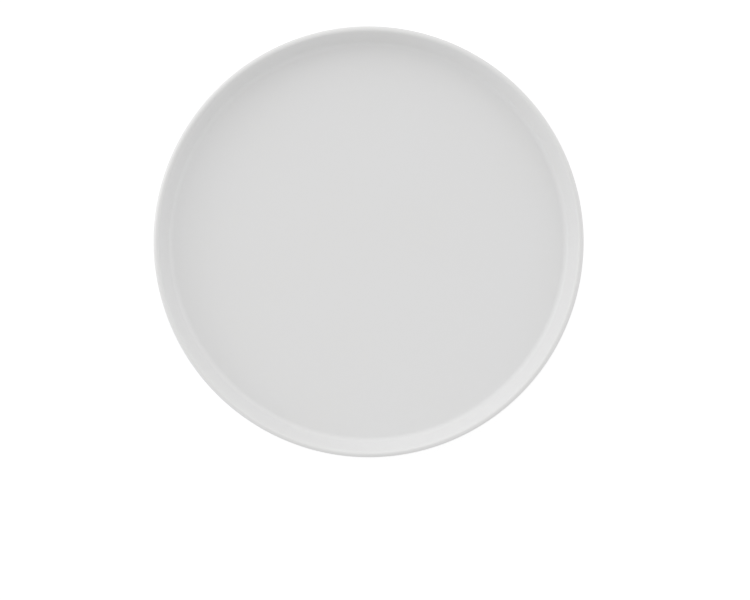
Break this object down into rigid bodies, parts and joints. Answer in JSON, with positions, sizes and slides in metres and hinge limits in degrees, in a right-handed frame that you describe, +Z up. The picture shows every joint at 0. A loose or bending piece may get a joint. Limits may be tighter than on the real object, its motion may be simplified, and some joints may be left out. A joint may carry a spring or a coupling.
{
  "type": "round plate",
  "caption": "Round white porcelain plate with a flat well, a short upright wall and a tall foot ring set in under the rim, for serving food and for stacking.",
  "frame": {"origin": "middle of the bare ring that the plate stands on, on the surface under it", "axes": "+Z up along the plate's axis of revolution; X and Y lie on the surface that it stands on, and the plate is the same all round"},
  "size_m": [0.26, 0.26, 0.0312],
  "materials": {
    "bisque": "bare fired porcelain, matt",
    "glaze": "white glaze, satin"
  },
  "bodies": {
    "root": {"porcelain_body": "bisque", "glaze_coat": "glaze", "base_glaze": "glaze"}
  },
  "joints": []
}
